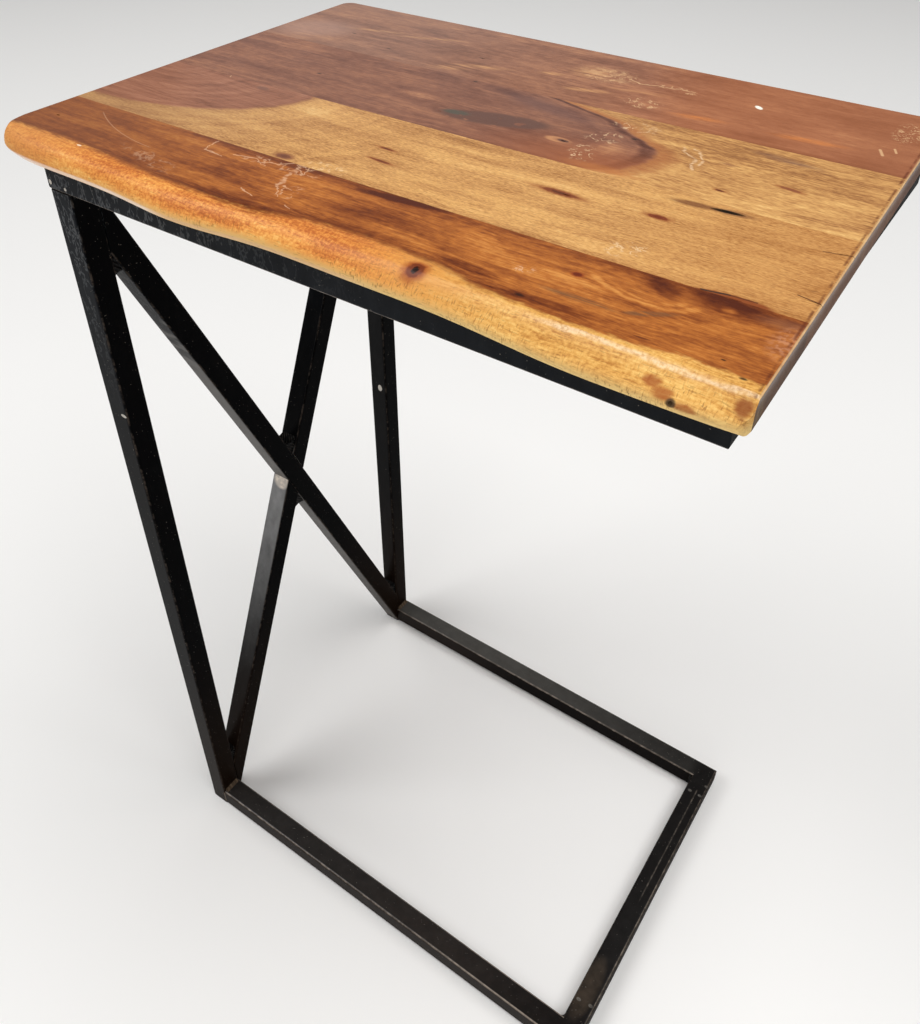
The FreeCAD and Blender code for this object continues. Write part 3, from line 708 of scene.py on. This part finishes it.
# Gold wood flecked with short dashes, and the red tongue.
dashes = noise(x / 2.6 + y * 0.3, flow / 0.8 - x / 9, z / 0.8, 2.0, 0.6)
tone = figure(bands, streaks, fibre, cloud, (0.5, 0.35, 0.4, 0.6)) + (dashes - 0.5) * 0.8
tone = tone + (1 - abs(tongue - 1.12).fade(0.0, 0.16)) * 0.10 - x.fade(120.0, 200.0) * 0.06
tone = shade(tone, x, y, (
    ((28, -62), 30, 8, -6, 0.1, -0.12), ((95, -62), 26, 7, 4, 0.1, -0.10),
))
gold = ramp(tone, (
    (0.10, (122, 80, 42)), (0.32, (170, 117, 64)), (0.50, (200, 147, 88)), (0.68, (222, 169, 101)),
    (0.95, (242, 200, 134)),
))
red = ramp(figure(bands, streaks, fibre, cloud, (0.6, 0.6, 0.3, 0.6)), (
    (0.20, (112, 68, 50)), (0.50, (150, 98, 74)), (0.80, (176, 122, 94)),
))
gold = gold.blend(srgb(138, 102, 80), (1 - x.fade(-190.0, -40.0)) * 0.5)
gold = gold.blend(srgb(190, 122, 58), x.fade(90.0, 200.0) * 0.25)
colour = gold.blend(red, 1 - tongue.fade(0.97, 1.03))
colour = colour.blend(srgb(104, 64, 36), pores * 0.34)

# Knots, the red stain at the front joint, the black split at the back one and the end cracks.
DARK_RED = (124, 60, 30)
BROWN = (160, 98, 52)
for centre, half_length, half_width, turn, dark, halo, blackness in (
    ((-12, -64), 7.0, 1.1, -5, DARK_RED, BROWN, 0.4),
    ((-19, -50), 5.0, 1.0, -4, DARK_RED, BROWN, 0.6),
    ((80, -45), 11.0, 2.3, -3, DARK_RED, BROWN, 0.5),
    ((129, -42), 5.6, 1.9, 0, (122, 52, 26), BROWN, 0.2),
    ((-56, -87), 4.6, 2.4, 0, (120, 70, 48), (140, 84, 52), 0.2),
):
    colour = knot(colour, x, y, centre, half_length, half_width, turn, dark, halo, blackness)
colour = colour.blend(srgb(122, 84, 70), patch(x, y, (-135, -20), 6, 3.2, 0, 0.5) * 0.7)
colour = colour.blend(srgb(136, 66, 30), patch(x + ruffle * 3, y, (182, -91.6), 19, 4.4, 4, 0.75) * 0.9)
colour = colour.blend(srgb(50, 42, 36), scratch(x, y + ruffle * 2, (170, -90.2), (181, -88.4), 0.9) * 0.9)
colour = colour.blend(srgb(84, 44, 26), scratch(x, y + ruffle * 2, (181, -88.4), (192, -88.2), 0.6) * 0.8)
bent_x = x + ruffle * 6
beside_split = patch(bent_x, y, (137, -20.5), 17, 3.8, 3, 0.3)
colour = colour.blend(srgb(112, 62, 34), beside_split * (0.45 + streaks * 0.8))
colour = colour.blend(srgb(122, 74, 44), patch(bent_x, y, (155, -19.4), 15, 3.8, 3, 0.4) * 0.65)
colour = colour.blend(srgb(42, 38, 32), patch(x, y + ruffle, (152.8, -19.4), 9.6, 1.8, 3, 0.6) * 0.95)
colour = colour.blend(srgb(70, 34, 20), scratch(x, y, (200, -32), (213, -29), 0.45) * 0.85)
colour = colour.blend(srgb(70, 34, 20), scratch(x, y, (203, -73), (213, -75), 0.5) * 0.85)

# Scratch and scuffs.
marks = scratch(x, y, (-165, -17), (-169, -10), 0.5) * 0.5
marks = marks.higher(scuffs(x, y, 5.0, 2.0, patch(x, y, (130, -78), 12, 8, 30, 0.6)))
marks = marks.higher(scuffs(x, y, 6.0, 4.0, patch(x, y, (-28, -86), 16, 6, 0, 0.6)))
colour = colour.blend(srgb(240, 208, 164), marks * 0.6)
colour = ends(colour, x, y, z, srgb(98, 70, 56))
varnish(paint, colour, x, y, z, fibre, pores, marks * 0.4)
carve("front_middle_board", wood, (
    ((84, -45.3, 636.0), (2.2, 0.6, 0.8), -3),
    ((152.8, -19.4, 636.2), (8.4, 1.2, 2.2), 3),
    ((211, -75, 635.8), (5.0, 0.22, 1.2), -4),
    ((210, -29.5, 635.8), (5.0, 0.20, 1.0), 10),
    ((179, -90.9, 636.0), (8.0, 0.35, 0.9), 3),
))


# ---------------------------------------------------------------- back middle board
# Its dark heart ends in a banded tongue, with golden sapwood beyond. It has a grey stain, a
# ringed knot and pale scuffs.
wood, paint = new_material("back_middle_board_wood")
x, y, z, flow, bands, streaks, fibre, pores, cloud = timber(paint, (20.0, 440.0), 3.0, (
    ((49, 11), 4, 2.0), ((-27, 10), 9, 4),
))

# Outline of the heart, with rings that follow its tip.
ruffle = noise(x / 12, y / 6, z / 6, 3.0) - 0.5
tip = along((y + 14.2) / 78.0, (
    (0.0, 0.72), (0.10, 0.90), (0.26, 0.99), (0.48, 1.0), (0.60, 0.89), (0.68, 0.75), (0.83, 0.56),
    (0.88, 0.42), (1.0, 0.05),
), 15.0, 97.0)
outward = x - tip + ruffle * 7
curved = noise(outward / 9, y / 90, 0.0, 3.0, 0.6)
near_tip = 1 - abs(outward).fade(20.0, 45.0)
bands = bands * (1 - near_tip) + curved * near_tip

# Dark heart, with a darker rim.
blotches = noise(x / 6, y / 3.5, z / 3.5, 3.0, 0.65) - 0.5
tone = figure(bands, streaks, fibre, cloud, (0.6, 0.5, 0.35, 0.6)) + blotches * 0.4
tone = tone - (1 - abs(outward + 5).fade(1.0, 5.5)) * 0.32
tone = shade(tone, x, y, (
    ((76, 15), 17, 12, 0, 0.1, 0.38), ((-52, 24), 18, 8, 5, 0.1, 0.22), ((26, 11), 18, 7, 5, 0.1, -0.18),
    ((2, 52), 66, 7, -13, 0.1, -0.2), ((-40, 4), 44, 7, 4, 0.1, 0.16),
))
red = ramp(tone, (
    (0.08, (76, 40, 28)), (0.32, (113, 70, 54)), (0.52, (137, 90, 69)), (0.72, (162, 110, 81)),
    (0.95, (196, 142, 100)),
))
red = red.blend(srgb(156, 88, 50), x.fade(-20.0, 80.0) * (1 - y.fade(-6.0, 30.0)) * 0.75)
red = red.blend(srgb(116, 82, 74), patch(x, y, (20, 48), 60, 12, -13, 0.1) * 0.5)

# Golden sapwood, turning brown towards the heart.
dashes = noise(x / 4.2 + y * 0.25, flow / 1.1, z / 1.1, 2.0, 0.6)
gold_tone = figure(bands, streaks, fibre, cloud, (0.6, 0.5, 0.4, 0.8)) + (dashes - 0.5) * 0.7
gold_tone = gold_tone + (1 - y.fade(-12.0, 12.0)) * 0.14 - y.fade(20.0, 60.0) * 0.05
gold = ramp(gold_tone, (
    (0.10, (126, 82, 48)), (0.32, (166, 114, 66)), (0.52, (200, 147, 88)), (0.74, (226, 176, 108)),
    (0.95, (246, 206, 138)),
))
turning = 1 - outward.fade(3.0, 20.0)
gold = gold.blend(srgb(168, 102, 58), turning * (0.45 + streaks * 0.6 + blotches * 0.6))

# Heart and sapwood together, with purple streaks and the grey stain.
colour = red.blend(gold, outward.fade(-1.5, 3.0))
colour = colour.blend(srgb(190, 118, 62), patch(x, y, (84, -10), 30, 7, 0, 0.2) * 0.55)
colour = colour.blend(srgb(96, 56, 34), pores * 0.3)
purple = patch(x, y, (156, 52), 26, 5.5, -8, 0.1).higher(patch(x, y, (168, 47), 20, 3.5, -4, 0.1))
colour = colour.blend(srgb(104, 78, 76), purple * bands.fade(0.35, 0.55) * (0.4 + streaks * 0.8))
colour = colour.blend(srgb(130, 80, 60), patch(x, y, (133, 31), 7, 2.0, -3, 0.1) * 0.6)
stain = noise(x / 8, y / 5, 0.0, 2.0)
grey = patch(x, y, (4, 16), 38, 10.5, 13, 0.7) * stain.fade(0.33, 0.40)
colour = colour.blend(srgb(100, 68, 57), grey * 0.9)
darkest = patch(x, y, (-19, 13), 11, 4.4, 6, 0.4) * stain.fade(0.36, 0.44)
colour = colour.blend(srgb(84, 80, 68), darkest * 0.9)

# Knots and pits.
colour = colour.blend(srgb(200, 142, 96), patch(x, y, (47, 11), 9, 4.0, 0, 0.6) * 0.8)
for centre, half_length, half_width, turn, dark, halo, blackness in (
    ((50, 11), 3.8, 1.6, -4, (96, 62, 52), (160, 106, 74), 0.3),
    ((141, 0), 2.6, 0.8, -5, (104, 50, 28), BROWN, 0.3),
    ((168, 20), 6.0, 1.3, -8, (140, 82, 52), BROWN, 0.0),
):
    colour = knot(colour, x, y, centre, half_length, half_width, turn, dark, halo, blackness)
for centre in ((-125, 19), (-38, 61), (80, 34)):
    colour = colour.blend(srgb(54, 40, 34), patch(x, y, centre, 2.4, 1.3, 0, 0.3) * 0.85)

# Scuffs and scratches.
marks = scuffs(x, y, 6.0, 1.0, patch(x, y, (66, 3), 9, 13, 20, 0.7))
marks = marks.higher(scuffs(x, y, 6.5, 3.0, patch(x, y, (66, 27), 12, 10, 20, 0.6)))
marks = marks.higher(scuffs(x, y, 7.0, 7.0, patch(x, y, (74, 50), 16, 8, 0, 0.6)))
marks = strokes(x + ruffle * 6, y + ruffle * 5, marks, 1.0, (
    ((106, 38), (113, 30), (118, 24), (120, 14)), ((112, 40), (118, 34), (122, 22)),
)) * (0.25 + streaks.fade(0.35, 0.6) * 0.75)
colour = colour.blend(srgb(232, 196, 154), marks * 0.75)
colour = ends(colour, x, y, z, srgb(102, 74, 62))
varnish(paint, colour, x, y, z, fibre, pores, marks * 0.5)
carve("back_middle_board", wood, (
    ((50.5, 10.8, 636.0), (1.4, 0.5, 0.8), 0),
    ((-28, 9, 636.2), (1.8, 1.0, 0.7), 0),
))


# ---------------------------------------------------------------- back board
# Red-brown board with pale streaks and an orange glow along its front joint. Its finish is
# rubbed pale in places, and one fleck is chipped to white.
wood, paint = new_material("back_board_wood")
x, y, z, flow, bands, streaks, fibre, pores, cloud = timber(paint, (150.0, 300.0), 3.6, (
    ((175, 98), 10, 4), ((-58, 100), 4, 2), ((-119, 85), 4, 2),
))

# Red-brown wood, darker near the front joint.
ruffle = noise(x / 9, y / 5, z / 5, 3.0) - 0.5
blotches = noise(x / 6, y / 3.5, z / 3.5, 3.0, 0.65) - 0.5
tone = figure(bands, streaks, fibre, cloud, (0.6, 0.5, 0.4, 0.8)) + blotches * 0.45
tone = tone - patch(x, y, (190, 70), 30, 8, 0, 0.1) * 0.26
tone = tone - (1 - (y - 64 + cloud * 4).fade(2.0, 7.0)) * x.fade(60.0, 120.0) * 0.38
tone = tone - patch(x, y, (126, 72), 36, 6.5, 3, 0.1) * 0.26
colour = ramp(tone, (
    (0.08, (88, 48, 31)), (0.32, (125, 77, 54)), (0.52, (150, 99, 72)), (0.72, (176, 121, 86)),
    (0.95, (210, 158, 112)),
))

# Pale streaks, tints along the board, and a painted sheen that greys the left end and pales a patch at the
# back left.
pale = streaks.fade(0.30, 0.62)
for centre, half_length, half_width, turn, share in (
    ((-150, 109), 34, 3.4, 14, 0.8), ((-113, 114), 36, 3.2, 18, 0.9), ((-66, 73), 18, 6.0, 18, 0.7),
    ((-51, 85), 27, 5.4, 18, 1.0), ((-7, 100), 11, 4.0, 15, 1.0), ((12, 116), 19, 18, 30, 0.8),
    ((24, 86), 20, 4.6, 13, 1.0), ((50, 100), 28, 4.0, 10, 0.5),
):
    streak = patch(x + ruffle * 8, y + ruffle * 4, centre, half_length, half_width, turn, 0.1)
    colour = colour.blend(srgb(204, 148, 98), streak * pale * share)
colour = colour.blend(srgb(178, 107, 66), x.fade(0.0, 110.0) * 0.5)
colour = colour.blend(srgb(150, 92, 62), x.fade(150.0, 215.0) * 0.35)
# painted sheen over the left end and a patch at the back left
colour = colour.blend(srgb(146, 120, 108), (1 - x.fade(-140.0, 10.0)) * 0.3)
colour = colour.blend(srgb(190, 152, 134), patch(x, y, (-190, 90), 40, 26, 20, 0.3) * 0.36)

# Orange glow by the front joint, then pores and pits.
bent_y = y + ruffle * 4
glow = patch(x, bent_y, (95, 81.5), 22, 4.4, 7, 0.1)
glow = glow.higher(patch(x, bent_y, (156, 84), 28, 5.0, 5, 0.1))
colour = colour.blend(srgb(214, 130, 66), glow * (0.2 + fibre.fade(0.3, 0.65) * 0.6))
colour = colour.blend(srgb(84, 44, 28), pores * 0.24)
for centre in ((-59, 100), (-120, 82), (-160, 95)):
    colour = colour.blend(srgb(70, 52, 46), patch(x, y, centre, 3.0, 1.0, -6, 0.3) * 0.8)

# Rubbed finish, scuffs, scratches and the white chip.
rubbed = patch(x, y, (22, 118), 26, 16, 0, 0.3) * noise(x / 6, y / 6, 0.0, 3.0, 0.6).fade(0.42, 0.6)
colour = colour.blend(srgb(206, 158, 112), rubbed * 0.6)
marks = scuffs(x, y, 5.5, 1.0, patch(x, y, (60, 85), 14, 10, 0, 0.6))
marks = marks.higher(scuffs(x, y, 5.5, 2.0, patch(x, y, (24, 116), 22, 15, 0, 0.6)) * 0.7)
marks = marks.higher(scuffs(x, y, 7.0, 5.0, patch(x, y, (66, 117), 20, 5, -6, 0.5)))
marks = strokes(x + ruffle * 6, y + ruffle * 5, marks, 0.5, (((36, 118), (47, 114), (59, 117), (78, 118)),))
marks = marks.higher(scratch(x, y, (190, 93), (193, 86), 1.1))
marks = marks.higher(scratch(x, y, (196, 98), (198, 93), 0.9))
marks = marks.higher(scuffs(x, y, 3.5, 9.0, patch(x, y, (197, 124), 10, 18, 0, 0.6)))
colour = colour.blend(srgb(224, 182, 136), marks * 0.7)
flake = patch(x, y, (117.3, 115.7), 3.6, 2.0, -41, 0.7)
colour = colour.blend(srgb(250, 244, 230), flake)
colour = ends(colour, x, y, z, srgb(98, 74, 62))
varnish(paint, colour, x, y, z, fibre, pores, marks * 0.5)
carve("back_board", wood, (
    ((117.3, 115.7, 636.1), (2.8, 1.5, 0.5), -41),
    ((-58, 100, 636.1), (1.4, 0.6, 0.6), 0),
))


# ---------------------------------------------------------------- floor and light
# Plain pale floor under four soft lamps: two large ones overhead, at the front left and over the
# free end, a low one in front and a weak one behind the legs.
bpy.ops.object.select_all(action="DESELECT")
bpy.ops.mesh.primitive_plane_add(size=12, location=(0, 0, 0))
floor = bpy.context.object
floor.name = "floor"
floor_material, paint = new_material("pale_floor")
show(paint, {"Base Color": srgb(247, 246, 244), "Roughness": 0.6})
floor.data.materials.append(floor_material)


def lamp(name, place, target, width, height, watts):
    """A soft white rectangular lamp that is aimed at a point."""
    data = bpy.data.lights.new(name, "AREA")
    data.shape = "RECTANGLE"
    data.size = width
    data.size_y = height
    data.energy = watts
    made = bpy.data.objects.new(name, data)
    made.location = place
    aim = made.location.copy()
    aim.xyz = [there - here for there, here in zip(target, place)]
    made.rotation_mode = "QUATERNION"
    made.rotation_quaternion = aim.to_track_quat("-Z", "Y")
    made.visible_camera = False
    bpy.context.scene.collection.objects.link(made)


lamp("key", (-2.6, -2.0, 4.4), (0, 0, 0.5), 3.0, 3.0, 124)
lamp("overhead", (1.5, 0.3, 4.8), (0, 0, 0.4), 4.2, 4.2, 186)
lamp("front", (0.5, -3.4, 1.1), (0, 0, 0.6), 2.6, 1.2, 16)
lamp("window", (-2.1, 2.8, 1.55), (0, 0, 0.6), 2.0, 0.8, 2.4)
ROOM_STRENGTH = 0.15
world = bpy.data.worlds.new("room")
world.use_nodes = True
background = world.node_tree.nodes["Background"]
background.inputs["Color"].default_value = (1, 1, 1, 1)
background.inputs["Strength"].default_value = ROOM_STRENGTH
bpy.context.scene.world = world
bpy.context.scene.view_settings.view_transform = "Standard"
